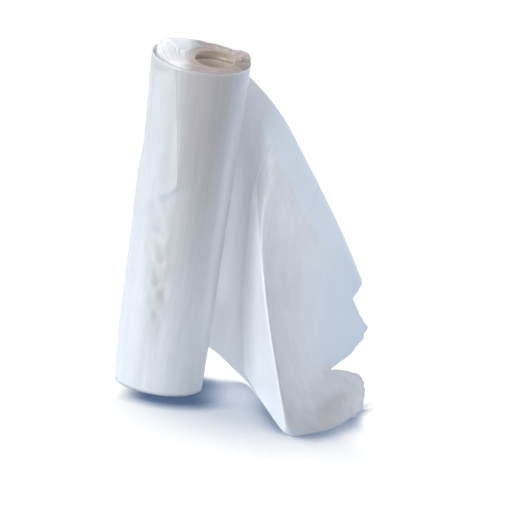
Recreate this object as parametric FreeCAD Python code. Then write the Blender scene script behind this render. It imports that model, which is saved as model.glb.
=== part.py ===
import FreeCAD, Part
import math
import os

# A roll of film produce bags, stood on one end, with its free end drawn off and
# draped on the surface beside it.
# Millimetres. +Z is up. The origin is on the core's axis, in the plane of the base.
# -Y is the side that the draped end's main fold points to, and the free end leaves
# the roll towards +X.

Vector = FreeCAD.Vector

# ---- Driving dimensions ----

# Core: a straight tube of wound board.
CORE_BORE_RADIUS = 17.0
CORE_WALL = 2.0
CORE_LENGTH = 297.0

# Wound film. Its turns lie tighter on the +X side, so its middle is off the core's axis.
WEB_WIDTH = 303.0            # width of the folded web, and the most that the outer turns reach
WOUND_RADIUS = 38.8          # from the wound film's middle to its outer turn, at the base
WOUND_TAPER = 1.4            # how much more it measures at the head
FILM_SHIFT = 8.0             # from the core's axis to the wound film's middle, towards -X
HEAD_DROP = 1.7              # from the web's upper edge down to the head, on the core's axis
HEAD_LEAN = 5.4              # degrees by which the head falls towards -Y
TURNS_TILT = 2.5             # degrees by which the inner turns' upper edges rise towards +X
TELESCOPE = 1.2              # how far the inner turns stand above the outer ones
TURN_BUNDLES = 7             # turns of the spiral that shows, each a bundle of many thin ones
BUNDLE_GAP = 0.9             # width of the groove between two bundles
GROOVE_DEPTH = 2.2           # depth of that groove below the outer turns' edge

# Loose outer turn: (share of the web's width above the base, slack on the -X side).
LOOSE_SLACK = [
    (0.00, 1.2), (0.07, 2.6), (0.15, 4.0), (0.30, 4.0), (0.48, 4.9), (0.60, 5.3),
    (0.66, 5.1), (0.72, 3.9), (0.78, 4.3), (0.85, 5.6), (0.93, 6.8), (1.00, 7.6),
]
POCKET_DEPTH = 48.0          # how far the gap behind the loose turn goes down from the rim
POCKET_SPREAD = 58.0         # degrees that the gap takes to each side of the -X side
POCKET_SEAM = 0.4            # width of the gap where the loose turn closes on the next one

# Lapped layer on the outer turn, from a leaning edge at the front round the -X side.
LAP_STEP = 1.1               # how far it stands out from the turn below it
LAP_EDGE_AT_RIM = -28.0      # X of its edge at the rim
LAP_EDGE_AT_CREASE = -14.5   # X of its edge where it meets the crease
LAP_CREASE = 0.64            # height of that meeting, as a share of the web's width
LAP_FALL = 0.07              # how far the crease falls from there to the -X side, same share
LAP_BACK = 20.0              # how far it goes round the -X side, towards +Y

# Draped end.
TAIL_SKIN = 0.8              # thickness of the draped film
TAIL_REACH = 143.0           # from the wound film's +X side to the far end of the drape
TAIL_DEPTH = 90.0            # from the core's axis to the tip of the main fold, towards -Y
TAIL_LEAVES_AT = 76.0        # degrees about the film's middle where the film leaves the roll
TAIL_ROOT_DEPTH = 2.4        # how deep the draped film runs into the outer turns

# ---- Working values ----

CORE_RADIUS = CORE_BORE_RADIUS + CORE_WALL
FILM_MIDDLE = Vector(-FILM_SHIFT, 0, 0)
RIM_RADIUS = WOUND_RADIUS + WOUND_TAPER
FIRST_BUNDLE = 0.01          # where the bundles start, as a share of the way from core to rim
LAST_BUNDLE = 0.93           # where they end, in the same share
HEAD_EDGE = 0.955            # where the outer turns start, in the same share
HEAD_HEIGHT = WEB_WIDTH - HEAD_DROP
BUNDLE_ROOT = 12.0           # how deep the bundles are rooted in the wound film
SPARE = 12.0                 # how far cutting shapes reach past what they cut
PAST_END = 1.4               # a share of the drape's reach that lies past all of it
UP = Vector(0, 0, 1)
ACROSS = Vector(1, 0, 0)
BACKWARD = Vector(0, 1, 0)


def tight_radius(share):
    """Distance from the wound film's middle to the outer turn on the tight side."""
    return WOUND_RADIUS + WOUND_TAPER * share


def slack_at(share):
    """Slack of the outer turn on the -X side at a share of the web's width."""
    for (low, slack_low), (high, slack_high) in zip(LOOSE_SLACK, LOOSE_SLACK[1:]):
        if share <= high:
            return slack_low + (slack_high - slack_low) * (share - low) / (high - low)
    return LOOSE_SLACK[-1][1]


def around(middle, radius, angle, height):
    """A point at an angle in degrees about a vertical line."""
    turn = math.radians(angle)
    return Vector(middle.x + radius * math.cos(turn), middle.y + radius * math.sin(turn), height)


def wrap_section(share, z, slack, spare=0.0):
    """Outline of the outer turn: half a circle at +X, and half an ellipse on the loose side."""
    middle = FILM_MIDDLE + UP * z
    radius = tight_radius(share) + spare
    front = middle + Vector(0, -radius, 0)
    back = middle + Vector(0, radius, 0)
    tight_side = Part.Arc(front, middle + Vector(radius, 0, 0), back)
    oval = Part.Ellipse(middle + Vector(-radius - slack, 0, 0), front, middle)
    loose_side = Part.ArcOfEllipse(oval, -math.pi / 2, math.pi / 2)
    return Part.Wire([tight_side.toShape(), loose_side.toShape()])


def wrap_solid(spare=0.0):
    """Everything inside the outer turn, or a little more."""
    sections = [wrap_section(share, share * WEB_WIDTH, slack, spare) for share, slack in LOOSE_SLACK]
    return Part.makeLoft(sections, True, True)


def turn_side(share, side):
    """X of a turn where it crosses the core's axis plane, on the +X or -X side."""
    reach = CORE_RADIUS + (RIM_RADIUS - CORE_RADIUS) * share
    return side * reach - FILM_SHIFT * share


def ring_wire(share, z):
    """Horizontal circle that follows the wound film's eccentric growth."""
    right = turn_side(share, 1)
    left = turn_side(share, -1)
    return Part.Wire([Part.makeCircle((right - left) / 2, Vector((right + left) / 2, 0, z))])


def lap():
    """The lapped layer: a slice of a slightly larger turn, bounded by its edge and its crease."""
    far_side = -FILM_SHIFT - 2 * RIM_RADIUS
    crease = LAP_CREASE * WEB_WIDTH
    fallen = (LAP_CREASE - LAP_FALL) * WEB_WIDTH
    corners = [
        Vector(LAP_EDGE_AT_RIM, 0, WEB_WIDTH),
        Vector(LAP_EDGE_AT_CREASE, 0, crease),
        Vector(-FILM_SHIFT - RIM_RADIUS, 0, fallen),
        Vector(far_side, 0, fallen),
        Vector(far_side, 0, WEB_WIDTH),
    ]
    front = Vector(0, -2 * RIM_RADIUS, 0)
    outline = Part.Face(Part.makePolygon([corner + front for corner in corners + corners[:1]]))
    region = outline.extrude(Vector(0, 2 * RIM_RADIUS + LAP_BACK, 0))
    return wrap_solid(LAP_STEP).common(region)


def lean(shape, height, tilt=0.0):
    """Turn a shape as the head leans, about a point on the core's axis."""
    middle = UP * height
    shape.rotate(middle, BACKWARD, -tilt)
    shape.rotate(middle, ACROSS, HEAD_LEAN)
    return shape


def above_head(rise, tilt=0.0):
    """All the space above the leaning head, or above a plane that stands over it."""
    height = HEAD_HEIGHT + rise
    side = 4 * RIM_RADIUS
    corner = Vector(-side / 2, -side / 2, height)
    return lean(Part.makeBox(side, side, side, corner), height, tilt)


def wound_body():
    """The solid of all turns, with a leaning, recessed head and the core's seat through it."""
    body = wrap_solid().fuse(lap()).cut(above_head(0.0))
    floor = HEAD_HEIGHT - GROOVE_DEPTH
    recess = Part.Face(ring_wire(HEAD_EDGE, floor)).extrude(UP * SPARE)
    seat = Part.makeCylinder(CORE_RADIUS, WEB_WIDTH + SPARE)
    return body.cut(lean(recess, floor)).cut(seat)


def spiral_edges(share, growth, turns, z):
    """Half circles that run out from a starting share, each tangent to the last."""
    edges = []
    for i in range(2 * turns):
        side = 1 if i % 2 == 0 else -1
        start = turn_side(share + growth * i / 2, side)
        end = turn_side(share + growth * (i + 1) / 2, -side)
        middle = Vector((start + end) / 2, side * abs(start - end) / 2, z)
        edges.append(Part.Arc(Vector(start, 0, z), middle, Vector(end, 0, z)).toShape())
    return edges


def turns():
    """The edges of the turns at the head: one spiral wall from the core to the outer turns."""
    growth = (LAST_BUNDLE - FIRST_BUNDLE) / (TURN_BUNDLES + 1)
    wall_share = growth - BUNDLE_GAP / (RIM_RADIUS - CORE_RADIUS)
    low = HEAD_HEIGHT - BUNDLE_ROOT
    inner = spiral_edges(FIRST_BUNDLE, growth, TURN_BUNDLES, low)
    outer = spiral_edges(FIRST_BUNDLE + wall_share, growth, TURN_BUNDLES, low)
    first = Part.LineSegment(inner[0].valueAt(inner[0].FirstParameter),
                             outer[0].valueAt(outer[0].FirstParameter)).toShape()
    last = Part.LineSegment(inner[-1].valueAt(inner[-1].LastParameter),
                            outer[-1].valueAt(outer[-1].LastParameter)).toShape()
    outline = Part.Wire(Part.__sortEdges__(inner + [last] + outer + [first]))
    wall = Part.Face(outline).extrude(UP * (BUNDLE_ROOT + SPARE))
    return wall.cut(above_head(TELESCOPE, TURNS_TILT))


def pocket():
    """The gap at the head between the loose outer turn and the turns inside it."""
    spread = math.radians(POCKET_SPREAD)
    inset = Vector(POCKET_SEAM, 0, 0)
    widest = slack_at(1.0) - TAIL_SKIN
    sections = []
    for down, gap in ((POCKET_DEPTH, 2 * POCKET_SEAM), (0.0, widest), (-SPARE, widest)):
        share = 1.0 - down / WEB_WIDTH
        inside = tight_radius(share) - TAIL_SKIN
        reach = inside + slack_at(share)
        middle = FILM_MIDDLE + UP * (share * WEB_WIDTH)
        back_corner = middle + Vector(-reach * math.cos(spread), inside * math.sin(spread), 0)
        front_corner = middle + Vector(-reach * math.cos(spread), -inside * math.sin(spread), 0)
        outer = Part.Arc(back_corner, middle + Vector(-reach, 0, 0), front_corner)
        inner = Part.Arc(front_corner + inset, middle + Vector(gap - reach, 0, 0), back_corner + inset)
        sections.append(Part.Wire([
            outer.toShape(),
            Part.LineSegment(front_corner, front_corner + inset).toShape(),
            inner.toShape(),
            Part.LineSegment(back_corner + inset, back_corner).toShape(),
        ]))
    return Part.makeLoft(sections, True, True)


# ---- Draped end ----

# Lines that run along the web from the roll to its cut end. Each place is
# (out from the wound film's +X side, back from the core's axis, up), as shares of
# TAIL_REACH, TAIL_DEPTH and WEB_WIDTH. The first place of each line, on the roll,
# is given by its height alone.
HEM = [0.119, (-0.01, 0.42, 0.110), (0.17, 0.47, 0.032), (0.28, 0.46, 0.003), (0.56, -1.12, 0.003),
       (0.77, -0.80, 0.003), (0.92, -0.36, 0.003), (1.045, 0.26, 0.003)]
SOLE = [0.158, (0.00, 0.41, 0.137), (0.16, 0.47, 0.060), (0.26, 0.47, 0.026), (0.55, -1.04, 0.014),
        (0.76, -0.55, 0.024), (0.90, 0.02, 0.036), (1.045, 0.42, 0.040)]
INSTEP = [0.220, (0.00, 0.41, 0.190), (0.15, 0.46, 0.120), (0.24, 0.47, 0.080), (0.51, -0.90, 0.060),
          (0.69, -0.30, 0.046), (0.84, 0.34, 0.070), (1.045, 0.54, 0.080)]
SHIN = [0.340, (0.01, 0.40, 0.310), (0.13, 0.43, 0.248), (0.20, 0.43, 0.191), (0.42, -0.62, 0.172),
        (0.62, -0.12, 0.100), (0.76, 0.38, 0.120), (1.03, 0.60, 0.120)]
LOWER = [0.528, (0.01, 0.40, 0.495), (0.10, 0.38, 0.446), (0.16, 0.37, 0.390), (0.28, -0.33, 0.360),
         (0.55, -0.02, 0.250), (0.76, 0.36, 0.190), (1.03, 0.66, 0.170)]
MIDDLE = [0.760, (0.01, 0.41, 0.710), (0.08, 0.31, 0.660), (0.12, 0.23, 0.634), (0.17, 0.03, 0.607),
          (0.43, 0.10, 0.446), (0.72, 0.32, 0.315), (1.03, 0.66, 0.235)]
CREASE = [0.941, (-0.02, 0.41, 0.885), (0.09, 0.27, 0.815), (0.20, 0.16, 0.746), (0.32, 0.08, 0.680),
          (0.51, 0.09, 0.538), (0.72, 0.30, 0.402), (0.95, 0.60, 0.300)]
TOP_EDGE = [0.993, (-0.04, 0.43, 0.947), (0.14, 0.37, 0.885), (0.28, 0.33, 0.815), (0.38, 0.32, 0.746),
            (0.59, 0.33, 0.604), (0.77, 0.40, 0.470), (0.92, 0.57, 0.330)]
WEB_LINES = [HEM, SOLE, INSTEP, SHIN, LOWER, MIDDLE, CREASE, TOP_EDGE]
FOLD_STATION = len(HEM) // 2 # the middle station, whose places lie on the main fold
FOLD_SHARPNESS = 0.80        # how near its neighbours stand to the main fold
DRAPE_ROWS = 20              # facets from the hem to the top edge
DRAPE_COLUMNS = 34           # facets from the roll to the torn end

# Torn end, as seen along Y: (out, up), in the same shares.
TORN_END = [(0.915, 0.40), (0.885, 0.335), (0.850, 0.300), (0.870, 0.284), (0.91, 0.250),
            (0.970, 0.212), (0.955, 0.175), (0.88, 0.125), (0.775, 0.096), (0.87, 0.088),
            (0.965, 0.074), (1.0, 0.055), (1.012, 0.030), (1.012, -0.01)]


def drape_point(out, back, up):
    """A place on the draped film."""
    side = WOUND_RADIUS - FILM_SHIFT
    return Vector(side + out * TAIL_REACH, back * TAIL_DEPTH, up * WEB_WIDTH)


def drape_poles():
    """Control points of the drape: one list for each line along the web."""
    rows = []
    for line in WEB_LINES:
        root_radius = tight_radius(line[0]) - TAIL_ROOT_DEPTH
        row = [around(FILM_MIDDLE, root_radius, TAIL_LEAVES_AT, line[0] * WEB_WIDTH)]
        row += [drape_point(*place) for place in line[1:]]
        fold = row[FOLD_STATION]
        before = row[FOLD_STATION - 1]
        after = row[FOLD_STATION + 1]
        row[FOLD_STATION:FOLD_STATION + 1] = [
            before + (fold - before) * FOLD_SHARPNESS,
            fold,
            after + (fold - after) * FOLD_SHARPNESS,
        ]
        rows.append(row)
    return rows


def spline_surface(rows):
    """Cubic surface through the frame of control points."""
    def knots(count):
        inner = count - 3
        return [4] + [1] * (inner - 1) + [4], [i / inner for i in range(inner + 1)]

    row_mults, row_knots = knots(len(rows))
    column_mults, column_knots = knots(len(rows[0]))
    surface = Part.BSplineSurface()
    surface.buildFromPolesMultsKnots(
        rows, row_mults, column_mults, row_knots, column_knots, False, False, 3, 3
    )
    return surface


def triangles(corners):
    """Two flat faces over four corners."""
    first, second, third, fourth = corners
    return [
        Part.Face(Part.makePolygon([first, second, third, first])),
        Part.Face(Part.makePolygon([first, third, fourth, first])),
    ]


def drape():
    """The draped film as a thin closed solid of flat facets, with its torn end."""
    surface = spline_surface(drape_poles())
    front = []
    back = []
    for i in range(DRAPE_ROWS + 1):
        places = [(i / DRAPE_ROWS, j / DRAPE_COLUMNS) for j in range(DRAPE_COLUMNS + 1)]
        front.append([surface.value(*place) + surface.normal(*place) * TAIL_SKIN / 2 for place in places])
        back.append([surface.value(*place) - surface.normal(*place) * TAIL_SKIN / 2 for place in places])
    faces = []
    for i in range(DRAPE_ROWS):
        for j in range(DRAPE_COLUMNS):
            for side in (front, back):
                faces += triangles([side[i][j], side[i + 1][j], side[i + 1][j + 1], side[i][j + 1]])
        for j in (0, DRAPE_COLUMNS):
            faces += triangles([front[i][j], front[i + 1][j], back[i + 1][j], back[i][j]])
    for j in range(DRAPE_COLUMNS):
        for i in (0, DRAPE_ROWS):
            faces += triangles([front[i][j], front[i][j + 1], back[i][j + 1], back[i][j]])
    shell = Part.makeShell(faces)
    shell.sewShape()
    skin = Part.Solid(shell)
    if skin.Volume < 0:
        skin.reverse()
    corners = [drape_point(out, 0, up) for out, up in TORN_END]
    corners.append(drape_point(PAST_END, 0, TORN_END[-1][1]))
    corners.append(drape_point(PAST_END, 0, TORN_END[0][1]))
    start = Vector(0, -2 * TAIL_DEPTH, 0)
    torn = Part.Face(Part.makePolygon([corner + start for corner in corners + corners[:1]]))
    return skin.cut(torn.extrude(Vector(0, 4 * TAIL_DEPTH, 0)))


def bag_web():
    """The whole web of bags: wound turns and draped end in one solid."""
    body = wound_body().fuse(turns())
    return body.cut(pocket()).fuse(drape())


def core_tube():
    """The board tube that the film is wound on."""
    tube = Part.makeCylinder(CORE_RADIUS, CORE_LENGTH)
    return tube.cut(Part.makeCylinder(CORE_BORE_RADIUS, CORE_LENGTH))


def save(shape, name):
    """Write one node, and say what it holds."""
    shape.exportStep("parts/" + name + ".step")
    print(name, "solids", len(shape.Solids), "valid", shape.isValid(), "volume", round(shape.Volume, 1))


os.makedirs("parts", exist_ok=True)
save(core_tube(), "core_tube")
save(bag_web(), "bag_web")
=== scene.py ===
import math

import bpy
import numpy as np
from mathutils import Matrix, Vector


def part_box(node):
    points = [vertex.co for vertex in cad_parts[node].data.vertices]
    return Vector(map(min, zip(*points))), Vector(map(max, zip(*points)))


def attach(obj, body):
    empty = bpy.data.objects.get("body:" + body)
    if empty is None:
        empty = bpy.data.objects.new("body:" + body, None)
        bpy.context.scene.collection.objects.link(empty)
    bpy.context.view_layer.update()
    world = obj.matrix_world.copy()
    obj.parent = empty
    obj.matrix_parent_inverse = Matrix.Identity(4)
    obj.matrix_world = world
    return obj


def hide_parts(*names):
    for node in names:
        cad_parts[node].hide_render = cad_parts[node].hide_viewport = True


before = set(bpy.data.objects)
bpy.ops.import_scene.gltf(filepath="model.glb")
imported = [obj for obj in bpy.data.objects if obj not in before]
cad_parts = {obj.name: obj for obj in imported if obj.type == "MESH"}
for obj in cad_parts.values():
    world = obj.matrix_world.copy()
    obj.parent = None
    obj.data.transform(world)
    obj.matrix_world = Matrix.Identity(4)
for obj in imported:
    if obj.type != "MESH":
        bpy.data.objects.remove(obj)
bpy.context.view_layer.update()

# A roll of thin film produce bags that stands on one end, with its free end drawn off
# and draped beside it. The film is a milky polyethylene tube, wound flat on a board core.
# Meshes are worked out in millimetres and written in metres. Materials, light and camera
# are in metres throughout.

MM = 0.001
CORE_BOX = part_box("core_tube")

# ---- Sizes, in millimetres ----

CORE_RADIUS = (CORE_BOX[1].x - CORE_BOX[0].x) / 2 / MM
CORE_TOP = CORE_BOX[1].z / MM
WEB_WIDTH = 303.0            # height of the outer turns
WOUND_RADIUS = 38.8          # outer turn at the base, from the wound film's middle
WOUND_TAPER = 1.4            # how much more it measures at the head
FILM_SHIFT = 8.0             # from the core's axis to the wound film's middle, towards -X
FILM_SIDE = WOUND_RADIUS - FILM_SHIFT    # X of the wound film's +X side
TURN_GAP = 0.3               # from the outer turn to the turns inside it, on the tight side

# Slack of the outer turn on its -X side, at shares of the web's width.
SLACK_SHARES = [0.00, 0.07, 0.15, 0.30, 0.48, 0.60, 0.66, 0.72, 0.78, 0.85, 0.93, 1.00]
SLACK_SIZES = [1.2, 2.6, 4.0, 4.0, 4.9, 5.3, 5.1, 3.9, 4.3, 5.6, 6.8, 7.6]

HEAD_MIDDLE = 301.3          # height of the head over the core's axis
HEAD_LEAN = 0.095            # its slope towards +Y
# Where the head flares up, at the right, the left and the far side: the rise, the X and the Y where it
# starts and is full, and the share of it that is lost again at the far side.
HEAD_FLARES = [
    (6.0, (12.0, 34.0), (-30.0, 20.0), 0.0),
    (9.5, (-24.0, -46.0), (-32.0, 0.0), 0.5),
    (2.4, (10.0, -24.0), (5.0, 34.0), 0.0),
]
FLARE_LOST = (-2.0, 30.0)    # the Y where that loss starts and is full
EAR_RISE = 1.7               # how far the outer turn's edge stands up on its loose side


def mesh_object(name, vertices, faces, material, smooth=True):
    """A mesh piece from vertices in millimetres."""
    mesh = bpy.data.meshes.new(name)
    mesh.from_pydata((np.asarray(vertices) * MM).tolist(), [], faces)
    mesh.validate()
    mesh.update()
    mesh.polygons.foreach_set("use_smooth", [smooth] * len(mesh.polygons))
    piece = bpy.data.objects.new(name, mesh)
    bpy.context.scene.collection.objects.link(piece)
    mesh.materials.append(material)
    return piece


def grid_faces(rows, columns, wrap=False, start=0, flip=False):
    """Quads over a grid of vertices stored row by row."""
    last = columns if wrap else columns - 1
    i, j = np.meshgrid(np.arange(rows - 1), np.arange(last), indexing="ij")
    a = start + i * columns + j
    b = start + i * columns + (j + 1) % columns
    c = b + columns
    d = a + columns
    quads = np.stack([a, b, c, d], axis=-1).reshape(-1, 4)
    if flip:
        quads = quads[:, ::-1]
    return quads.tolist()


def set_attribute(piece, name, values):
    """A number at each vertex, for the material to read."""
    attribute = piece.data.attributes.new(name, "FLOAT", "POINT")
    attribute.data.foreach_set("value", np.asarray(values, np.float32).ravel())


def smooth_step(low, high, value):
    """Zero at low, one at high, and smooth between. Low may be the larger."""
    t = np.clip((value - low) / (high - low), 0.0, 1.0)
    return t * t * (3 - 2 * t)


def bell(value, middle, width):
    """One at the middle, about a third at a width from it, and gone at two."""
    return np.exp(-((value - middle) / width) ** 2)


def ripples(seed, count, lowest, highest, place):
    """A sum of waves of random length and phase along one measure, about -1 to 1."""
    chance = np.random.default_rng(seed)
    total = np.zeros_like(place)
    for wave in np.geomspace(lowest, highest, count):
        total += np.sin(2 * math.pi * place / (wave * chance.uniform(0.8, 1.25)) + chance.uniform(0, 6.3))
    return total / math.sqrt(count)


# ---- Shape of the outer turn ----

def tight_radius(share):
    """Radius of the outer turn where it lies tight, at a share of the web's width."""
    return WOUND_RADIUS + WOUND_TAPER * share


def slack_at(share):
    """How much further the turn reaches at its loose side, at a share of the web's width."""
    return np.interp(share, SLACK_SHARES, SLACK_SIZES)


def turn_place(angle, share, out):
    """X and Y on the outer turn at an angle about the film's middle, moved out by a distance."""
    radius = tight_radius(share) + out
    reach = radius + np.where(np.cos(angle) < 0, slack_at(share), 0.0)
    return -FILM_SHIFT + reach * np.cos(angle), radius * np.sin(angle)


def head_plane(x, y):
    """Height of the roll's head: it leans to the near side, and flares up at the sides and the back."""
    height = HEAD_MIDDLE + HEAD_LEAN * y
    for rise, across, back, lost in HEAD_FLARES:
        kept = 1 - lost * smooth_step(*FLARE_LOST, y)
        height = height + rise * smooth_step(*across, x) * smooth_step(*back, y) * kept
    return height


def outer_rim(angle):
    """Height of the outer turn's edge: it follows the lean, and stands up in an ear on the loose side."""
    leaning = HEAD_MIDDLE + HEAD_LEAN * tight_radius(1.0) * np.sin(angle)
    return np.minimum(leaning, WEB_WIDTH) + EAR_RISE * np.clip(-np.cos(angle), 0, 1) ** 3


def signed_degrees(angle):
    """An angle in degrees from -180 to 180. -90 faces the viewer's side."""
    return (np.degrees(angle) + 180) % 360 - 180


# Creases and soft dents on the outer turn: start (degrees, height), end (degrees, height),
# depth and half width. A negative depth is a ridge.
CREASES = [
    ((-128, 176), (-112, 150), 1.7, 5.0),
    ((-120, 150), (-104, 126), 1.4, 4.5),
    ((-126, 132), (-108, 104), 1.2, 4.0),
    ((-112, 118), (-98, 92), 1.0, 4.5),
    ((-106, 140), (-96, 116), -0.5, 3.0),
    ((-118, 96), (-104, 70), 0.5, 3.5),
    ((-132, 110), (-120, 84), -0.4, 3.0),
    ((-108, 84), (-96, 60), 0.4, 4.0),
    ((-140, 210), (-126, 190), 0.5, 4.0),
    ((-136, 250), (-132, 215), 0.4, 3.5),
    ((-129, 97), (-110, 85), 0.6, 2.2),
    ((-123, 86), (-101, 73), 0.6, 2.2),
    ((-119, 110), (-99, 101), 0.55, 2.4),
    ((-125, 74), (-107, 61), 0.5, 2.2),
    ((-127, 91), (-106, 79), -0.4, 2.2),
    ((-116, 124), (-101, 113), -0.4, 2.6),
]


def crease_field(angle, height):
    """How far the creases and dents sink the surface."""
    sunk = np.zeros(np.broadcast(angle, height).shape)
    place = np.radians(signed_degrees(angle)) * WOUND_RADIUS
    for (start_angle, start_height), (end_angle, end_height), depth, width in CREASES:
        start = math.radians(start_angle) * WOUND_RADIUS
        run = math.radians(end_angle) * WOUND_RADIUS - start
        rise = end_height - start_height
        along = ((place - start) * run + (height - start_height) * rise) / (run * run + rise * rise)
        along = np.clip(along, 0, 1)
        gap = np.hypot(place - start - along * run, height - start_height - along * rise)
        sunk += depth * bell(gap, 0.0, width)
    return sunk


LAP_EDGE_AT_RIM = -28.0      # X of the lapped layer's edge at the rim
LAP_EDGE_AT_CREASE = -14.5   # X of that edge where it meets the crease
LAP_EDGE_OUT = 3.0           # how much further out than the tight turn that edge lies
LAP_CREASE = 194.0           # height of that meeting
LAP_CREASE_END = -150.0      # angle in degrees where the crease ends, towards the -X side
LAP_FALLEN = 158.0           # its height there
LAP_RISE = 2.4               # how far the layer lifts towards its edge
LAP_STEP_SHARE = 0.15        # share of that lift that drops off at the edge
LAP_STEP_HALF = 0.25         # half the width of that drop
LAP_SPREAD = 12.0            # how far from the edge the lift fades
CREASE_SOFT = 2.0            # half the height over which the lift ends at the crease, beside the edge
CREASE_SOFTENS = 0.16        # how much softer that gets for each millimetre from the edge
CREASE_SOFTEST_AT = 30.0     # the distance from the edge where it stops getting softer
BULGE_RISE = 0.8             # how far the layer bulges just above the crease
BULGE_ABOVE = 4.0            # from the crease to the bulge
BULGE_WIDTH = 4.5
BULGE_REACH = 32.0           # how far from the edge the bulge fades
BULGE_STARTS = 4.0           # half the distance in which it starts at the edge


def lap_edge_angle(height):
    """Angle of the lapped layer's edge at a height."""
    x = np.interp(height, [LAP_CREASE, WEB_WIDTH], [LAP_EDGE_AT_CREASE, LAP_EDGE_AT_RIM])
    return -np.arccos(np.clip((x + FILM_SHIFT) / (WOUND_RADIUS + LAP_EDGE_OUT), -1, 1))


def lap_field(angle, height):
    """The lapped layer: it lifts slowly towards its edge, drops off there, and ends below in a crease."""
    across = signed_degrees(angle)
    behind = (np.degrees(lap_edge_angle(height)) - across) * math.radians(1) * WOUND_RADIUS
    on_layer = np.clip(behind, 0, None)
    under = LAP_RISE * (1 - LAP_STEP_SHARE) * np.exp(-np.abs(behind) / LAP_SPREAD)
    over = LAP_RISE * LAP_STEP_SHARE * np.exp(-on_layer / LAP_SPREAD)
    lift = under + over * smooth_step(-LAP_STEP_HALF, LAP_STEP_HALF, behind)
    crease_ends = [LAP_CREASE_END, np.degrees(lap_edge_angle(LAP_CREASE))]
    above_crease = height - np.interp(across, crease_ends, [LAP_FALLEN, LAP_CREASE])
    soft = CREASE_SOFT + CREASE_SOFTENS * np.minimum(on_layer, CREASE_SOFTEST_AT)
    bulge = BULGE_RISE * np.exp(-on_layer / BULGE_REACH) * bell(above_crease, BULGE_ABOVE, BULGE_WIDTH)
    bulge *= smooth_step(-BULGE_STARTS, BULGE_STARTS, behind)
    return lift * smooth_step(-soft, soft, above_crease) + bulge


def wall_out(angle, height):
    """How far the outer turn stands out from its plain outline."""
    out = lap_field(angle, height) - crease_field(angle, height)
    across = angle * WOUND_RADIUS
    wander = 6.0 * np.sin(height / 47.0 + 1.0) + 3.0 * np.sin(height / 21.0)
    drawn = ripples(seed=3, count=5, lowest=11.0, highest=70.0, place=across + wander)
    bowed = ripples(seed=5, count=4, lowest=26.0, highest=120.0, place=height + 0.5 * across)
    return out + 0.16 * drawn * (0.6 + 0.4 * np.sin(height / 60.0)) + 0.12 * bowed


WALL_SHADE_SHARE = 0.385        # how far the painted shade on the outer turn goes towards the dark tone
# How softly the painted shade starts at the lapped edge: heights, and half widths in degrees.
START_HEIGHTS = [40.0, 130.0, LAP_CREASE]
START_SOFTNESS = [34.0, 16.0, 1.6]


def wall_painted_shade(angle, height):
    """Painted shade on the outer turn: by the lapped edge away from the light, in a dent, high on the loose
    side; and random streaks.
    """
    across = signed_degrees(angle)
    edge = np.degrees(lap_edge_angle(np.maximum(height, LAP_CREASE)))
    soft = np.interp(height, START_HEIGHTS, START_SOFTNESS)
    shade_band = 0.45 * smooth_step(edge - 2.0, edge + 22.0, across)
    shade_band += 0.55 * smooth_step(edge - soft, edge + soft, across)
    shade_band *= smooth_step(-22.0, -64.0, across) * smooth_step(40.0, 250.0, height)
    shade_band *= 1 + 0.10 * ripples(seed=31, count=5, lowest=2.0, highest=9.0, place=across + 0.01 * height)
    # Painted shadow in a soft dent at the front, and painted shade high on the loose side.
    dent_shade = 0.95 * bell(across, -105.0, 10.0) * bell(height, 100.0, 60.0)
    shaded = 0.55 * bell(across, -166.0, 17.0) * smooth_step(110.0, 200.0, height)
    wander = 0.03 * height + 2.0 * np.sin(height / 40.0)
    drawn = 0.10 * ripples(seed=41, count=6, lowest=1.6, highest=15.0, place=across + wander)
    return np.clip(WALL_SHADE_SHARE * (shade_band + dent_shade + shaded + drawn), 0, 1)


# ---- Materials ----

def new_material(name):
    """An empty node material and its tree."""
    material = bpy.data.materials.new(name)
    material.use_nodes = True
    tree = material.node_tree
    tree.nodes.clear()
    return material, tree


def node(tree, kind, inputs=None, **settings):
    """A shader node. Its inputs, by name or number, take a value or another node's output."""
    made = tree.nodes.new(kind)
    for key, value in settings.items():
        setattr(made, key, value)
    for key, value in (inputs or {}).items():
        if isinstance(value, bpy.types.NodeSocket):
            tree.links.new(value, made.inputs[key])
        else:
            made.inputs[key].default_value = value
    return made


def triple(tree, values):
    """Three fixed values as an output."""
    return node(tree, "ShaderNodeCombineXYZ", dict(zip("XYZ", values))).outputs["Vector"]


def noise(tree, place, scale, detail, roughness):
    """Soft random values over places."""
    inputs = {"Vector": place, "Scale": scale, "Detail": detail, "Roughness": roughness}
    return node(tree, "ShaderNodeTexNoise", inputs).outputs["Fac"]


def stretched(tree, place, scale, offset):
    """Places that are scaled and then moved."""
    inputs = {"Vector": place, "Scale": scale, "Location": offset}
    return node(tree, "ShaderNodeMapping", inputs).outputs["Vector"]


def ramp(tree, value, start, end, first=0.0, last=1.0, kind="SMOOTHSTEP"):
    """A number that goes from its first to its last value while another goes from start to end."""
    inputs = {"Value": value, "From Min": start, "From Max": end, "To Min": first, "To Max": last}
    return node(tree, "ShaderNodeMapRange", inputs, interpolation_type=kind).outputs["Result"]


def tone_mix(tree, share, first, second, kind="MIX"):
    """The first tone, going over to the second by a share. Either may be another node's output."""
    tones = [tone if isinstance(tone, bpy.types.NodeSocket) else (*tone, 1.0) for tone in (first, second)]
    inputs = {"Factor": share, "A": tones[0], "B": tones[1]}
    return node(tree, "ShaderNodeMix", inputs, data_type="RGBA", blend_type=kind).outputs["Result"]


# Tones that the film takes on where a vertex attribute of that name says so, the later ones over the earlier:
# a dark warm tone, partly that of many turns pressed together with the brown core behind them and partly
# painted shade; a painted reflection of the sky's blue; and a pale tone of painted light, for daylight
# through few walls.
PAINTED_TONES = [
    ("dense_and_shade", (0.385, 0.317, 0.30)),
    ("painted_sky", (0.585, 0.68, 0.785)),
    ("painted_daylight", (0.95, 0.97, 1.00)),
]
WARM_TONE = (0.42, 0.33, 0.265)        # film over the brown core's end
WARM_SHARE = 0.85                      # how much of that tone shows at most
WARM_REACH = (0.0180, 0.0300)          # distances from the core's axis where it starts to fade and is gone


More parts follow.
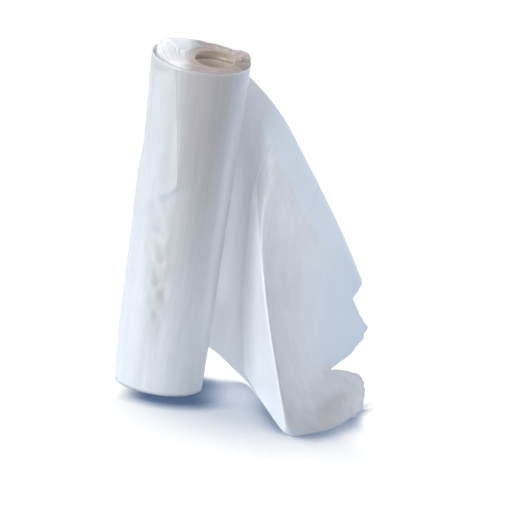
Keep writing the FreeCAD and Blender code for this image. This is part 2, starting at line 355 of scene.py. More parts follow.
def film_material(name, light, deep, clearness, depth, coat, seed):
    """Milky film: two close tones in soft clouds, fine draw lines, uneven gloss, and some show-through."""
    material, tree = new_material(name)
    place = node(tree, "ShaderNodeTexCoord").outputs["Object"]
    along_roll = stretched(tree, place, scale=(1.0, 1.0, 0.12), offset=(seed, 0.0, 0.0))
    longer = stretched(tree, place, scale=(1.0, 1.0, 0.07), offset=(0.0, seed, 0.0))
    clouds = noise(tree, place, scale=26.0, detail=4.0, roughness=0.55)
    streaks = noise(tree, along_roll, scale=240.0, detail=3.0, roughness=0.6)
    bands = noise(tree, longer, scale=95.0, detail=2.0, roughness=0.5)
    patches = node(tree, "ShaderNodeMix", {"Factor": 0.6, "A": clouds, "B": bands}).outputs["Result"]
    tone = tone_mix(tree, ramp(tree, patches, 0.35, 0.70, kind="LINEAR"), light, deep)
    # These attributes paint shade, the sky's reflection and daylight over the film's own tone.
    for attribute, painted in PAINTED_TONES:
        share = node(tree, "ShaderNodeAttribute", attribute_name=attribute).outputs["Fac"]
        tone = tone_mix(tree, share, tone, painted)
    flat = node(tree, "ShaderNodeVectorMath", {0: place, 1: (1.0, 1.0, 0.0)}, operation="MULTIPLY")
    from_axis = node(tree, "ShaderNodeVectorMath", {0: flat.outputs["Vector"]}, operation="LENGTH")
    warm = ramp(tree, from_axis.outputs["Value"], *WARM_REACH, WARM_SHARE, 0.0)
    tone = tone_mix(tree, warm, tone, WARM_TONE)
    fine = node(tree, "ShaderNodeBump", {"Height": streaks, "Strength": 0.12, "Distance": 0.0006})
    soft = node(tree, "ShaderNodeBump", {"Height": clouds, "Strength": 0.25, "Distance": 0.003,
                                         "Normal": fine.outputs["Normal"]})
    film = node(tree, "ShaderNodeBsdfPrincipled", {
        "Base Color": tone,
        "Roughness": ramp(tree, streaks, 0.3, 0.7, 0.28, 0.44, kind="LINEAR"),
        "Normal": soft.outputs["Normal"],
        "IOR": 1.5,
        "Specular IOR Level": 0.4 + 0.8 * coat,
        "Coat Weight": coat,
        "Coat Roughness": 0.3,
        "Subsurface Weight": depth,
        "Subsurface Scale": 0.01,
        "Subsurface Radius": (1.0, 1.0, 1.1),
    })
    clear = node(tree, "ShaderNodeBsdfTransparent")
    mix = node(tree, "ShaderNodeMixShader", {0: clearness, 1: film.outputs["BSDF"], 2: clear.outputs["BSDF"]})
    node(tree, "ShaderNodeOutputMaterial", {"Surface": mix.outputs["Shader"]})
    return material


BOARD_LIGHT = (0.57, 0.515, 0.465)
BOARD_DEEP = (0.47, 0.415, 0.365)
BOARD_PAINTED_LIGHT = (0.86, 0.80, 0.74)        # painted light: paler on its side towards -X, which daylight reaches through the loose turns
BOARD_SIDES = (-0.016, 0.012)          # X where that side ends and the plain one starts


def board_material():
    """Brown wound board of paper fibres, painted paler on one side for the daylight that reaches it."""
    material, tree = new_material("wound_board")
    place = node(tree, "ShaderNodeTexCoord").outputs["Object"]
    fibres = noise(tree, place, scale=420.0, detail=5.0, roughness=0.65)
    axes = node(tree, "ShaderNodeSeparateXYZ", {"Vector": place})
    side = ramp(tree, axes.outputs["X"], *BOARD_SIDES)
    tone = tone_mix(tree, side, BOARD_PAINTED_LIGHT, tone_mix(tree, fibres, BOARD_LIGHT, BOARD_DEEP))
    bump = node(tree, "ShaderNodeBump", {"Height": fibres, "Strength": 0.35, "Distance": 0.0004})
    board = node(tree, "ShaderNodeBsdfPrincipled", {"Base Color": tone, "Normal": bump.outputs["Normal"],
                                                    "Roughness": 0.85, "Specular IOR Level": 0.25})
    node(tree, "ShaderNodeOutputMaterial", {"Surface": board.outputs["BSDF"]})
    return material


FILM_ROLL = film_material("film_wound", light=(0.67, 0.69, 0.71), deep=(0.59, 0.61, 0.63),
                          clearness=0.0, depth=0.36, coat=0.3, seed=0.0)
FILM_DRAPE = film_material("film_draped", light=(0.62, 0.625, 0.65), deep=(0.53, 0.535, 0.565),
                           clearness=0.05, depth=0.38, coat=0.12, seed=3.1)
BOARD = board_material()


# ---- Wound turns ----

ROLL_COLUMNS = 300
BASE_ROWS = 14
WALL_ROWS = 120
POCKET_ROWS = 12
HEAD_ROWS = 140
BASE_END = 0.985             # how far out the base's last ring lies, next to the wall's first
# Columns stand closer together at the lapped edge: how many more of them, and within how many degrees.
CLOSER_COLUMNS = [(7.0, 1.6), (1.2, 25.0)]
LAP_EDGE_PULL = 40.0         # degrees from the lapped edge within which they follow its lean
TURN_EDGE = 0.6              # thickness of the outer turn's edge at the head
EDGE_CROWN = 1.0005          # height of that edge's middle, as a share of the height of its sides
POCKET_DEPTH = 10.0          # depth of the gap behind the loose turn, where it is open
POCKET_LEAST = 0.4           # its depth where it is closed
POCKET_OPEN = 3.6            # how much wider it is where it is open
POCKET_SPAN = (64.0, 38.0)   # degrees from the -X side where it is closed, and where it is open
INNER_LOOSE = 0.3            # how far the turns inside stand out, as a share of how far the outer one does
HEAD_TURNS = 20              # turns that show on the head
HEAD_LIP = 17.5              # radius of the film's lip over the core's end
LIP_LEAN = 0.08              # how much more the head leans at that lip
LIP_REACH = 8.0              # distance from the lip over which that lean fades
TURN_LEVELS = 0.35           # how unevenly the turns' edges stand
TURN_STEP_AT = 0.82          # where each turn starts to go over to the next one's level, as a share of it
GROOVE_DEPTH = 0.5           # groove along each turn
HEAD_FOLDS = 0.35            # height of the soft folds across the turns
SEAT_GAP = 0.15              # from the core to the first turn
LIP_RINGS = (0.3, 0.06)      # heights of the lip's rings over the core's end
SEAT_RINGS = (CORE_TOP + 0.06, 150.0, 1.0)
SUNK_SHADE = 0.4             # painted shade: how much darker a turn's edge is for each millimetre that it sits deeper
TURN_SHADE = 0.20            # how much the tone varies from turns that lie tight to turns that lie loose


def ring(x, y, z):
    """Places round the roll from their X, Y and Z."""
    return np.stack(np.broadcast_arrays(x, y, z), axis=-1)


def roll_angles(height):
    """Angles of the roll's columns: closer together at the lapped edge, which one of them follows."""
    middle = lap_edge_angle((LAP_CREASE + WEB_WIDTH) / 2)
    turn = middle + math.pi * np.linspace(-1, 1, 4001)
    density = 1 + sum(more * bell(turn, middle, math.radians(span)) for more, span in CLOSER_COLUMNS)
    run = np.concatenate([[0], np.cumsum((density[1:] + density[:-1]) / 2)])
    columns = (np.arange(ROLL_COLUMNS) + 0.5) / ROLL_COLUMNS
    angles = np.interp(columns, run / run[-1], turn)
    pull = bell(angles, middle, math.radians(LAP_EDGE_PULL))
    return angles + pull * (lap_edge_angle(height) - middle)


def wall_places(height, inset=0.0):
    """X and Y on the outer turn at a height, or a little inside it, and the angles there."""
    angle = roll_angles(height)
    x, y = turn_place(angle, height / WEB_WIDTH, wall_out(angle, height) - inset)
    return x, y, angle


def pocket_share(angle):
    """How open the gap behind the loose turn is: all of it at the -X side, and closed at the others."""
    closed, opened = np.cos(np.radians(POCKET_SPAN))
    return smooth_step(closed, opened, -np.cos(angle))


def pocket_heights(down):
    """Height on each column at a share of the way down the gap behind the loose turn."""
    depth = POCKET_LEAST + (POCKET_DEPTH - POCKET_LEAST) * pocket_share(roll_angles(WEB_WIDTH))
    return WEB_WIDTH - down * depth


def inner_places(height):
    """X and Y on the turns inside the outer one at a height, and the angles there."""
    angle = roll_angles(height)
    x, y = turn_place(angle, height / WEB_WIDTH, wall_out(angle, height) * INNER_LOOSE - TURN_EDGE)
    opened = POCKET_OPEN * pocket_share(angle)
    gap = TURN_GAP + opened * (1 - np.clip((WEB_WIDTH - height) / POCKET_DEPTH, 0, 1))
    return x - gap * np.cos(angle), y - gap * np.sin(angle), angle


def head_ring(share):
    """A ring of the head, from the core at 0 to the inner turns' rim at 1."""
    rim_x, rim_y, angle = inner_places(WEB_WIDTH)
    x = HEAD_LIP * np.cos(angle) * (1 - share) + rim_x * share
    y = HEAD_LIP * np.sin(angle) * (1 - share) + rim_y * share
    levels = np.random.default_rng(seed=11).normal(0, TURN_LEVELS, HEAD_TURNS + 3)
    turn = share * HEAD_TURNS + (angle % (2 * math.pi)) / (2 * math.pi)
    index = np.floor(turn).astype(int)
    part = turn - index
    blend = smooth_step(TURN_STEP_AT, 1.0, part)
    level = levels[index] * (1 - blend) + levels[index + 1] * blend
    folds = HEAD_FOLDS * ripples(seed=8, count=4, lowest=0.35, highest=1.3, place=angle)
    z = head_plane(x, y) + level * smooth_step(0.0, 0.1, share) + folds * smooth_step(0.1, 0.5, share)
    z -= GROOVE_DEPTH * bell(part, 0.45, 0.17)
    z += LIP_LEAN * y * np.exp(-(np.hypot(x, y) - HEAD_LIP) / LIP_REACH)
    return ring(x, y, z)


def base_ring(share):
    """A ring of the base, from the core at 0 to the outer turn at 1, over three soft ridges."""
    rim_x, rim_y, angle = wall_places(0.0)
    seat = CORE_RADIUS + SEAT_GAP
    x = seat * np.cos(angle) * (1 - share) + rim_x * share
    y = seat * np.sin(angle) * (1 - share) + rim_y * share
    return ring(x, y, 0.1 + 0.5 * np.sin(share * math.pi * 3) ** 2)


def roll_skin():
    """The rings of the skin in four parts: base with wall, gap behind the loose turn, head, and seat."""
    outside = [base_ring(share) for share in np.linspace(0, BASE_END, BASE_ROWS)]
    for height in np.linspace(0, WEB_WIDTH, WALL_ROWS):
        x, y, angle = wall_places(height)
        outside.append(ring(x, y, height / WEB_WIDTH * outer_rim(angle)))
    x, y, angle = wall_places(WEB_WIDTH, TURN_EDGE / 2)
    pocket = [ring(x, y, EDGE_CROWN * outer_rim(angle))]
    for down in np.linspace(0, 1, POCKET_ROWS):
        heights = pocket_heights(down)
        x, y, angle = wall_places(heights, TURN_EDGE)
        pocket.append(ring(x, y, outer_rim(angle) + heights - WEB_WIDTH))
    for down in np.linspace(1, 0, POCKET_ROWS):
        heights = pocket_heights(down)
        x, y, angle = inner_places(heights)
        pocket.append(ring(x, y, outer_rim(angle) + heights - WEB_WIDTH))
    head = [head_ring(share) for share in np.linspace(1, 0, HEAD_ROWS)]
    x, y = head[-1][:, :2].T
    widen = (CORE_RADIUS + SEAT_GAP) / HEAD_LIP
    # The film's lip drops to the core's end and steps out to its side. Close rings keep the shading crisp.
    lip = [ring(x, y, CORE_TOP + above) for above in LIP_RINGS]
    seat = lip + [ring(x * widen, y * widen, height) for height in SEAT_RINGS]
    return [np.array(part) for part in (outside, pocket, head, seat)]


def head_pressed_and_shade(x):
    """How dark the turns' edges are: at the right, partly their pressed tone and partly painted shade away
    from the light; not at the left.
    """
    return smooth_step(-34.0, -10.0, x)


def head_painted_light(x):
    """Painted light: how much daylight through the turns is painted in as a paler tone: much at the left,
    none at the right.
    """
    return smooth_step(-16.0, -32.0, x)


def wall_painted_light(angle, height):
    """Painted light: daylight through the outer turn, painted in as a paler strip at the right, at middle
    heights.
    """
    strip = 0.42 * bell(signed_degrees(angle), -31.0, 12.0)
    return strip * smooth_step(20.0, 90.0, height) * smooth_step(270.0, 200.0, height)


def head_shade(head):
    """How much darker the head's turns are: painted shade where they sit deep, and a random tone where they
    lie tight.
    """
    from_core = np.linspace(1, 0, HEAD_ROWS)[:, None] * (WOUND_RADIUS - CORE_RADIUS)
    sunk = head_plane(head[..., 0], head[..., 1]) - head[..., 2]
    tight = ripples(seed=61, count=4, lowest=2.0, highest=7.0, place=from_core)
    return SUNK_SHADE * sunk + TURN_SHADE * tight


def wound_roll():
    """All the turns as one closed skin: base, outer wall, pocket behind the loose turn, and ridged head."""
    skin = roll_skin()
    outside, pocket, head, seat = skin
    rings = np.concatenate(skin)
    faces = grid_faces(len(rings), ROLL_COLUMNS, wrap=True)
    last = (len(rings) - 1) * ROLL_COLUMNS
    for j in range(ROLL_COLUMNS):
        k = (j + 1) % ROLL_COLUMNS
        faces.append([last + j, last + k, k, j])
    piece = mesh_object("wound_roll", rings.reshape(-1, 3), faces, FILM_ROLL)
    angle = np.arctan2(outside[..., 1], outside[..., 0] + FILM_SHIFT)
    shade = head_shade(head)
    # Painted shade and painted light, for the material to read: the dark tone with painted shade, and the
    # pale tone of painted daylight.
    dense_and_shade = [wall_painted_shade(angle, outside[..., 2]),
             head_pressed_and_shade(pocket[..., 0]),
             np.clip(1.1 * head_pressed_and_shade(head[..., 0]) + shade, 0, 1),
             head_pressed_and_shade(seat[..., 0])]
    painted_daylight = [wall_painted_light(angle, outside[..., 2]),
            0.3 * head_painted_light(pocket[..., 0]),
            np.clip(1 - shade, 0, 1) * head_painted_light(head[..., 0]),
            head_painted_light(seat[..., 0])]
    set_attribute(piece, "dense_and_shade", np.concatenate(dense_and_shade))
    set_attribute(piece, "painted_daylight", np.concatenate(painted_daylight))
    return piece


# ---- Draped end ----

DRAPE_REACH = 143.0
DRAPE_DEPTH = 90.0
DRAPE_LEAVES_AT = 76.0       # angle in degrees on the roll, about the film's middle, where the web leaves it
DRAPE_ROOT_DEPTH = 2.4       # how far inside the outer turn it starts
# Lines along the web from the roll to its cut end. The first value of a line is the height of its root on
# the roll. Each place is (out from the wound film's +X side, back from the core's axis, up), as shares of
# DRAPE_REACH, DRAPE_DEPTH and WEB_WIDTH.
HEM = [0.119, (-0.01, 0.42, 0.110), (0.17, 0.47, 0.032), (0.28, 0.46, 0.003), (0.562, -1.18, 0.003),
       (0.77, -0.80, 0.003), (0.92, -0.36, 0.003), (1.045, 0.26, 0.003)]
SOLE = [0.158, (0.00, 0.41, 0.137), (0.16, 0.47, 0.060), (0.26, 0.47, 0.026), (0.55, -1.04, 0.014),
        (0.76, -0.55, 0.024), (0.90, 0.02, 0.036), (1.045, 0.42, 0.040)]
INSTEP = [0.220, (0.00, 0.41, 0.190), (0.15, 0.46, 0.120), (0.24, 0.47, 0.080), (0.51, -0.90, 0.060),
          (0.69, -0.30, 0.046), (0.84, 0.34, 0.070), (1.045, 0.54, 0.080)]
SHIN = [0.340, (0.01, 0.40, 0.310), (0.13, 0.43, 0.248), (0.20, 0.43, 0.191), (0.42, -0.62, 0.172),
        (0.62, -0.12, 0.100), (0.76, 0.38, 0.120), (1.03, 0.60, 0.120)]
LOWER = [0.528, (0.01, 0.40, 0.495), (0.10, 0.38, 0.446), (0.16, 0.37, 0.390), (0.28, -0.33, 0.360),
         (0.55, -0.02, 0.250), (0.76, 0.36, 0.190), (1.03, 0.66, 0.170)]
MIDDLE = [0.760, (0.01, 0.41, 0.710), (0.08, 0.31, 0.660), (0.12, 0.23, 0.634), (0.17, 0.03, 0.607),
          (0.43, 0.10, 0.446), (0.72, 0.32, 0.315), (1.03, 0.66, 0.235)]
CREASE = [0.941, (-0.02, 0.41, 0.885), (0.09, 0.27, 0.815), (0.20, 0.16, 0.746), (0.32, 0.08, 0.680),
          (0.51, 0.09, 0.538), (0.72, 0.30, 0.402), (0.95, 0.60, 0.300)]
TOP_EDGE = [0.993, (-0.04, 0.43, 0.947), (0.14, 0.37, 0.885), (0.28, 0.33, 0.815), (0.38, 0.32, 0.746),
            (0.59, 0.33, 0.604), (0.77, 0.40, 0.470), (0.92, 0.57, 0.330)]
WEB_LINES = [HEM, SOLE, INSTEP, SHIN, LOWER, MIDDLE, CREASE, TOP_EDGE]
FOLD_STATION = 4             # place in each line where the web folds forward
# How sharp that fold is on each line: how near to it an extra point stands on both sides, as a share.
FOLD_SHARPNESS = [0.60, 0.72, 0.80, 0.80, 0.80, 0.62, 0.45, 0.80]

# Torn end, as seen along Y: (out, up) in the same shares.
TORN_END = [(0.915, 0.40), (0.885, 0.335), (0.850, 0.300), (0.870, 0.284), (0.91, 0.250),
            (0.970, 0.212), (0.955, 0.175), (0.88, 0.125), (0.775, 0.096), (0.87, 0.088),
            (0.965, 0.074), (1.0, 0.055), (1.012, 0.030), (1.012, -0.01)]
TORN_WANDER = 0.0007         # how far the torn edge wanders, as a share of the way along
DRAPE_ROWS = 170
DRAPE_COLUMNS = 230
EVEN_ALONG = 0.55            # share of the way along up to which columns stand alike on all rows

WALL_HALF = 0.12             # half the distance between the tube's two walls
WALLS_PART = 0.5             # how much more that is at the torn end
LEAST_HEIGHT = 0.15          # from the ground to the lowest film
HEM_DROP = 0.7               # how far the hem settles on the ground
WAVE_RISE = 0.10             # height of the soft waves along the web
RIDGE_RISE = 0.8             # height of the narrow ridge beside the roll
BAND_STEP = 0.35             # how far the band along the top edge stands out
END_FOLD_RISE = 0.4          # how far the fold at the foot's torn end stands out

# From here on, places on the web are shares across it, from the hem, and along it, from the roll.
BAND_EDGE = (0.912, 0.940)   # across: where the band along the top edge starts and is full
FOLD_ALONG = 0.54            # along: where the main fold is, which has hardly any waves
# The narrow ridge beside the roll.
RIDGE_ACROSS = [0.30, 0.45, 0.60, 0.72, 0.82]
RIDGE_ALONG = [0.066, 0.071, 0.072, 0.077, 0.094]
# The facet at the near fold, painted pale for the daylight that shines through it: where it starts and ends
# along the web.
FACET_ACROSS = [0.0, 0.05, 0.30, 0.50, 0.62, 0.70, 0.76, 0.82]
FACET_STARTS = [0.36, 0.26, 0.245, 0.245, 0.255, 0.265, 0.265, 0.270]
FACET_ENDS = [0.56, 0.573, 0.580, 0.579, 0.572, 0.52, 0.40, 0.278]
# Where the fold's rounded upper end runs out, in painted shade.
CREST_ACROSS = [0.72, 0.80, 0.84, 0.865, 0.905]
CREST_ALONG = [0.559, 0.536, 0.495, 0.473, 0.430]
# Spots of painted shade: how strong, then the middle and the width across, and along. They are below the
# band, behind the fold, and at the foot's corner.
SHADE_SPOTS = [
    (1.0, (0.80, 0.07), (0.46, 0.10)),
    (0.5, (0.58, 0.17), (0.20, 0.05)),
    (2.7, (0.09, 0.06), (0.90, 0.07)),
]
SHADE_UNIT = 0.20            # share of the dark tone where the painted shade is as strong as 1 in these terms


def drape_poles():
    """Control points of the drape, a row for each line along the web."""
    leaves_at = math.radians(DRAPE_LEAVES_AT)
    rows = []
    for line, sharpness in zip(WEB_LINES, FOLD_SHARPNESS):
        root = tight_radius(line[0]) - DRAPE_ROOT_DEPTH
        row = [(-FILM_SHIFT + root * math.cos(leaves_at), root * math.sin(leaves_at), line[0] * WEB_WIDTH)]
        for out, back, up in line[1:]:
            row.append((FILM_SIDE + out * DRAPE_REACH, back * DRAPE_DEPTH, up * WEB_WIDTH))
        row = [np.array(place) for place in row]
        before, fold, after = row[FOLD_STATION - 1:FOLD_STATION + 2]
        row.insert(FOLD_STATION, before + (fold - before) * sharpness)
        row.insert(FOLD_STATION + 2, after + (fold - after) * sharpness)
        rows.append(row)
    return np.array(rows)


DRAPE_POLES = drape_poles()


def cubic_weights(count, place):
    """Weights of the control points of a clamped cubic B-spline with even knots."""
    inner = count - 3
    knots = np.concatenate([np.zeros(3), np.linspace(0, 1, inner + 1), np.ones(3)])
    place = np.clip(np.asarray(place, float), 0, 1 - 1e-9)
    weights = []
    for start, end in zip(knots[:-1], knots[1:]):
        weights.append(np.where((start <= place) & (place < end), 1.0, 0.0))
    for degree in (1, 2, 3):
        raised = []
        for i in range(len(weights) - 1):
            total = np.zeros_like(place)
            span = knots[i + degree] - knots[i]
            if span > 0:
                total = total + (place - knots[i]) / span * weights[i]
            span = knots[i + degree + 1] - knots[i + 1]
            if span > 0:
                total = total + (knots[i + degree + 1] - place) / span * weights[i + 1]
            raised.append(total)
        weights = raised
    return np.stack(weights, axis=-1)


def drape_surface(across, along):
    """Places on the drape: across runs from the hem to the top edge, and along from the roll to the end."""
    row_weights = cubic_weights(DRAPE_POLES.shape[0], across)
    column_weights = cubic_weights(DRAPE_POLES.shape[1], along)
    return np.einsum("...i,...j,ijk->...k", row_weights, column_weights, DRAPE_POLES)


def drape_normals(across, along):
    """Unit normals of the drape, towards the viewer's side, from small steps both ways."""
    step = 0.002
    over = drape_surface(np.clip(across + step, 0, 1), along)
    under = drape_surface(np.clip(across - step, 0, 1), along)
    ahead = drape_surface(across, np.clip(along + step, 0, 1))
    behind = drape_surface(across, np.clip(along - step, 0, 1))
    normal = np.cross(over - under, ahead - behind)
    normal /= np.linalg.norm(normal, axis=-1, keepdims=True)
    return normal * -np.sign(normal[..., 1:2])


def torn_limit(across):
    """How far along the web each line across it reaches before the torn end."""
    outs = np.array([FILM_SIDE + out * DRAPE_REACH for out, up in TORN_END])[::-1]
    ups = np.array([up * WEB_WIDTH for out, up in TORN_END])[::-1]
    along = np.linspace(0.5, 1, 1200)
    limits = []
    for share in across:
        places = drape_surface(np.full_like(along, share), along)
        past = places[:, 0] > np.interp(places[:, 2], ups, outs)
        limits.append(along[np.argmax(past)] if past.any() else 1.0)
    ragged = TORN_WANDER * ripples(seed=51, count=5, lowest=0.035, highest=0.12, place=across)
    return np.clip(np.array(limits) + ragged, 0, 1)


def drape_grid():
    """Shares across and along at each vertex, and how far each is from the even columns to the torn end."""
    rows = np.linspace(0, 1, DRAPE_ROWS)
    across, column = np.meshgrid(rows, np.linspace(0, 1, DRAPE_COLUMNS), indexing="ij")
    to_end = np.clip((column - EVEN_ALONG) / (1 - EVEN_ALONG), 0, 1)
    pulled = EVEN_ALONG + to_end * (torn_limit(rows)[:, None] - EVEN_ALONG)
    return across, np.where(column < EVEN_ALONG, column, pulled), to_end


def band_share(across, along):
    """One on the band along the top edge, and zero elsewhere."""
    return smooth_step(*BAND_EDGE, across) * smooth_step(0.10, 0.25, along)


def ridge_share(across, along, width):
    """One on the narrow ridge beside the roll, and zero beyond its width."""
    held = smooth_step(0.25, 0.42, across) * smooth_step(0.84, 0.70, across)
    return held * bell(along, np.interp(across, RIDGE_ACROSS, RIDGE_ALONG), width)


def end_fold_share(across, to_end):
    """One past the fold at the foot's torn end, and zero elsewhere."""
    return smooth_step(0.925, 0.94, to_end) * smooth_step(0.34, 0.26, across)


def drape_relief(across, along, to_end):
    """How far the film stands out from the plain drape."""
    hang = smooth_step(0.0, 0.25, across) * smooth_step(0.05, 0.3, along)
    hang *= 1 - 0.9 * bell(along, FOLD_ALONG, 0.09)
    waves = ripples(seed=21, count=5, lowest=0.028, highest=0.10, place=along + 0.03 * across)
    relief = WAVE_RISE * hang * waves
    relief += BAND_STEP * band_share(across, along)
    relief += RIDGE_RISE * ridge_share(across, along, 0.024)
    relief += END_FOLD_RISE * end_fold_share(across, to_end)
    return relief


def drape_painted_light(across, along):
    """Painted light, where daylight shines through: the facet at the fold, the ridge, and the panel beside
    the roll.
    """
    starts = np.interp(across, FACET_ACROSS, FACET_STARTS)
    ends = np.interp(across, FACET_ACROSS, FACET_ENDS)
    facet = smooth_step(starts - 0.03, starts + 0.02, along) * smooth_step(ends + 0.008, ends - 0.008, along)
    facet *= smooth_step(0.84, 0.76, across)
    panel = 0.22 * smooth_step(0.29, 0.25, along) * smooth_step(0.86, 0.70, across)
    return np.maximum(facet, panel + 0.75 * ridge_share(across, along, 0.040))


def drape_painted_sky(across, along):
    """Painted reflection of the sky's blue: on the band, the flap at the torn end, and the toe of the foot.
    """
    flap = 0.8 * smooth_step(0.80, 0.97, along) * smooth_step(0.25, 0.45, across)
    toe = 0.9 * smooth_step(0.07, 0.01, across) * smooth_step(0.54, 0.58, along)
    toe *= smooth_step(0.80, 0.66, along)
    return np.maximum(0.9 * band_share(across, along), np.maximum(flap, toe))


def drape_shade_and_edge(across, along, to_end):
    """Painted shade under the band, at the fold's upper end, in the crease at the foot's end, and in spots;
    darker at the torn edge.
    """
    under_band = bell(across, 0.80, 0.09) * smooth_step(0.52, 0.12, along) * smooth_step(0.20, 0.34, along)
    under_band *= 1 - band_share(across, along)
    crest = 3.6 * bell(along, np.interp(across, CREST_ACROSS, CREST_ALONG), 0.018)
    crest *= bell(across, 0.835, 0.080)
    fold_line = 1.2 * bell(to_end, 0.932, 0.010) * (end_fold_share(across, to_end) > 0)
    torn = 1.4 * smooth_step(0.975, 0.995, to_end) + fold_line
    dense_and_shade = np.maximum(under_band, np.maximum(crest, torn))
    for strength, spot_across, spot_along in SHADE_SPOTS:
        dense_and_shade = np.maximum(dense_and_shade, strength * bell(across, *spot_across) * bell(along, *spot_along))
    return SHADE_UNIT * dense_and_shade


def draped_end():
    """The drawn-off end: a flat tube of film, open at its torn end."""
    across, along, to_end = drape_grid()
    normal = drape_normals(across, along)
    places = drape_surface(across, along) + normal * drape_relief(across, along, to_end)[..., None]
    places[..., 2] -= HEM_DROP * smooth_step(0.05, 0.0, across)
    off_edges = smooth_step(0.0, 0.03, across) * smooth_step(0.0, 0.03, 1 - across)
    half_gap = off_edges * (WALL_HALF + WALLS_PART * smooth_step(0.8, 1.0, to_end))
    walls = np.stack([places + normal * half_gap[..., None], places - normal * half_gap[..., None]])
    walls[..., 2] = np.maximum(walls[..., 2], LEAST_HEIGHT)
    faces = grid_faces(DRAPE_ROWS, DRAPE_COLUMNS)
    faces += grid_faces(DRAPE_ROWS, DRAPE_COLUMNS, start=DRAPE_ROWS * DRAPE_COLUMNS, flip=True)
    piece = mesh_object("draped_end", walls.reshape(-1, 3), faces, FILM_DRAPE)
    for name, values in (("painted_daylight", drape_painted_light(across, along)), ("painted_sky", drape_painted_sky(across, along)),
                         ("dense_and_shade", drape_shade_and_edge(across, along, to_end))):
        set_attribute(piece, name, np.stack([values, values]))
    return piece


pieces = [wound_roll(), draped_end()]
for piece in pieces:
    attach(piece, "root")
    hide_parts("bag_web")

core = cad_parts["core_tube"]
core.data.materials.clear()
core.data.materials.append(BOARD)


# ---- Floor, light and camera ----

FLOOR_HALF = 4000.0          # half the ground's side, in millimetres
# What the ground sends back to the film: its tone beside the object, and that of the dark room which
# begins towards the viewer, with the Y where it starts and is full.
TABLE_TONE = (0.80, 0.90, 1.0)
ROOM_TONE = (0.16, 0.16, 0.17)
TABLE_EDGE = (-0.12, -0.60)
# Where light lifts the shades: middles on ground whose Y is halved, and the distances at which the
# light is full and gone. It comes through the film between the roll and its draped end, and past both
# at the sides.
LEFT_LIGHT = ((-0.066, -0.015), 0.022, 0.052)
TIGHT_LIGHTS = [((0.064, -0.003), 0.004, 0.046), ((0.206, -0.014), 0.026, 0.040), LEFT_LIGHT]
WIDE_LIGHTS = [((0.215, -0.025), 0.030, 0.095), LEFT_LIGHT]
# Soft shades round whatever stands on the ground: lean of the open sky, reach, the shares of open sky at
# which a shade is full and gone, its tone, and the lights that lift it.
GROUND_SHADES = [
    ((-0.60, 0.77, 0.20), 0.045, 0.71, 0.95, (0.18, 0.27, 0.43), TIGHT_LIGHTS),
    ((-0.77, 0.64, 0.05), 0.026, 0.82, 0.97, (0.46, 0.55, 0.66), TIGHT_LIGHTS),
    ((-0.50, 0.72, 0.45), 0.220, 0.50, 0.90, (0.52, 0.58, 0.68), WIDE_LIGHTS),
]
# The camera sees the ground glow white, and a little of the light that falls on it, so that the real
# shadows stay.
GROUND_GLOW = 0.99
GROUND_SEEN = (0.06, 0.06, 0.06)
WHITE = (1.0, 1.0, 1.0)


def brightest(tree, place, share, lights):
    """The share of open sky at a place on the ground, or that of the lights there if they are brighter."""
    for middle, full, gone in lights:
        spot = node(tree, "ShaderNodeVectorMath", {0: place, 1: (*middle, 0.0)}, operation="DISTANCE")
        lit = ramp(tree, spot.outputs["Value"], full, gone, 1.0, 0.0)
        share = node(tree, "ShaderNodeMath", {0: share, 1: lit}, operation="MAXIMUM").outputs["Value"]
    return share


def floor_material():
    """White ground: plain to other surfaces, and to the camera white wherever no shade falls."""
    material, tree = new_material("white_ground")
    place = node(tree, "ShaderNodeTexCoord").outputs["Object"]
    axes = node(tree, "ShaderNodeSeparateXYZ", {"Vector": place})
    table = tone_mix(tree, ramp(tree, axes.outputs["Y"], *TABLE_EDGE), TABLE_TONE, ROOM_TONE)
    plain = node(tree, "ShaderNodeBsdfDiffuse", {"Color": table})
    halved = node(tree, "ShaderNodeVectorMath", {0: place, 1: (1.0, 0.5, 1.0)}, operation="MULTIPLY")
    tone = None
    for lean, distance, full, gone, dark, lights in GROUND_SHADES:
        inputs = {"Distance": distance, "Normal": triple(tree, lean)}
        near = node(tree, "ShaderNodeAmbientOcclusion", inputs, samples=16)
        open_share = ramp(tree, near.outputs["AO"], full, gone)
        clear = brightest(tree, halved.outputs["Vector"], open_share, lights)
        shade = tone_mix(tree, clear, dark, WHITE)
        tone = shade if tone is None else tone_mix(tree, 1.0, tone, shade, kind="MULTIPLY")
    seen = node(tree, "ShaderNodeBsdfDiffuse", {"Color": (*GROUND_SEEN, 1.0)})
    glow = node(tree, "ShaderNodeEmission", {"Color": tone, "Strength": GROUND_GLOW})
    both = node(tree, "ShaderNodeAddShader", {0: seen.outputs["BSDF"], 1: glow.outputs["Emission"]})
    ray = node(tree, "ShaderNodeLightPath")
    mix = node(tree, "ShaderNodeMixShader", {0: ray.outputs["Is Camera Ray"], 1: plain.outputs["BSDF"],
                                             2: both.outputs["Shader"]})
    node(tree, "ShaderNodeOutputMaterial", {"Surface": mix.outputs["Shader"]})
    return material


corners = [(-FLOOR_HALF, -FLOOR_HALF, 0), (FLOOR_HALF, -FLOOR_HALF, 0),
           (FLOOR_HALF, FLOOR_HALF, 0), (-FLOOR_HALF, FLOOR_HALF, 0)]
floor = mesh_object("ground", corners, [(0, 1, 2, 3)], floor_material(), smooth=False)

WORLD_LEAST = (0.38, 0.375, 0.385)
# Broad lights of the room: the direction that each comes from, how far round towards it the light starts
# and is full, as a cosine, and its colour.
WORLD_LIGHTS = [
    ((-0.71, 0.71, 0.0), 0.2, 0.9, (0.91, 0.96, 0.97)),
    ((0.94, 0.34, 0.0), 0.0, 0.9, (0.36, 0.40, 0.48)),
    ((0.71, 0.71, 0.0), 0.50, 0.95, (0.80, 0.82, 0.86)),
]


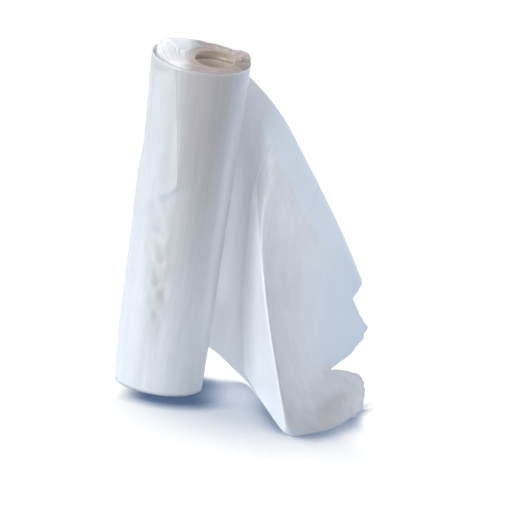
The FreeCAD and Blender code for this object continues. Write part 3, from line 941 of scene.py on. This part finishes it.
def studio_world():
    """Soft room light: brightest at the back left, weaker at the right, and least towards the viewer."""
    world = bpy.data.worlds.new("studio")
    world.use_nodes = True
    tree = world.node_tree
    tree.nodes.clear()
    place = node(tree, "ShaderNodeTexCoord").outputs["Generated"]
    total = triple(tree, WORLD_LEAST)
    for origin, start, end, colour in WORLD_LIGHTS:
        towards = node(tree, "ShaderNodeVectorMath", {0: place, 1: origin}, operation="DOT_PRODUCT")
        share = ramp(tree, towards.outputs["Value"], start, end)
        light = node(tree, "ShaderNodeVectorMath", {0: colour, "Scale": share}, operation="SCALE")
        added = node(tree, "ShaderNodeVectorMath", {0: total, 1: light.outputs["Vector"]}, operation="ADD")
        total = added.outputs["Vector"]
    room = node(tree, "ShaderNodeBackground", {"Color": total, "Strength": 1.0})
    white = node(tree, "ShaderNodeBackground", {"Color": (*WHITE, 1.0), "Strength": 1.0})
    ray = node(tree, "ShaderNodeLightPath")
    mix = node(tree, "ShaderNodeMixShader", {0: ray.outputs["Is Camera Ray"], 1: room.outputs["Background"],
                                             2: white.outputs["Background"]})
    node(tree, "ShaderNodeOutputWorld", {"Surface": mix.outputs["Shader"]})
    return world


bpy.context.scene.world = studio_world()


def soft_sun(name, origin, angle, strength, colour):
    """A wide distant light that comes from a direction, so that the ground is lit evenly."""
    data = bpy.data.lights.new(name, "SUN")
    data.angle = math.radians(angle)
    data.energy = strength
    data.color = colour
    lamp = bpy.data.objects.new(name, data)
    lamp.location = origin
    lamp.rotation_mode = "QUATERNION"
    lamp.rotation_quaternion = (-Vector(origin)).to_track_quat("-Z", "Y")
    bpy.context.scene.collection.objects.link(lamp)


soft_sun("overhead", (-0.14, 0.24, 1.0), angle=30.0, strength=0.30, colour=(1.0, 0.99, 0.97))
soft_sun("side", (-0.71, -0.70, 0.33), angle=40.0, strength=2.25, colour=WHITE)

CAMERA_DISTANCE = 4.0
CAMERA_TARGET = Vector((0.0612, 0.0, 0.1294))
CAMERA_ELEVATION = math.radians(16.0)
CAMERA_ROLL = math.radians(8.49)     # the photo is tilted, so that the roll leans to the right
camera_data = bpy.data.cameras.new("view")
camera_data.sensor_width = 36.0
camera_data.lens = 317.0
camera_data.clip_start = 0.1
camera_data.clip_end = 50.0
camera = bpy.data.objects.new("view", camera_data)
bpy.context.scene.collection.objects.link(camera)
forward = Vector((0.0, math.cos(CAMERA_ELEVATION), -math.sin(CAMERA_ELEVATION)))
level = Vector((1.0, 0.0, 0.0))
upright = level.cross(forward)
right = math.cos(CAMERA_ROLL) * level + math.sin(CAMERA_ROLL) * upright
above = -math.sin(CAMERA_ROLL) * level + math.cos(CAMERA_ROLL) * upright
turn = Matrix((right, above, -forward)).transposed()
camera.matrix_world = Matrix.Translation(CAMERA_TARGET - CAMERA_DISTANCE * forward) @ turn.to_4x4()
bpy.context.scene.camera = camera
bpy.context.scene.view_settings.view_transform = "Standard"
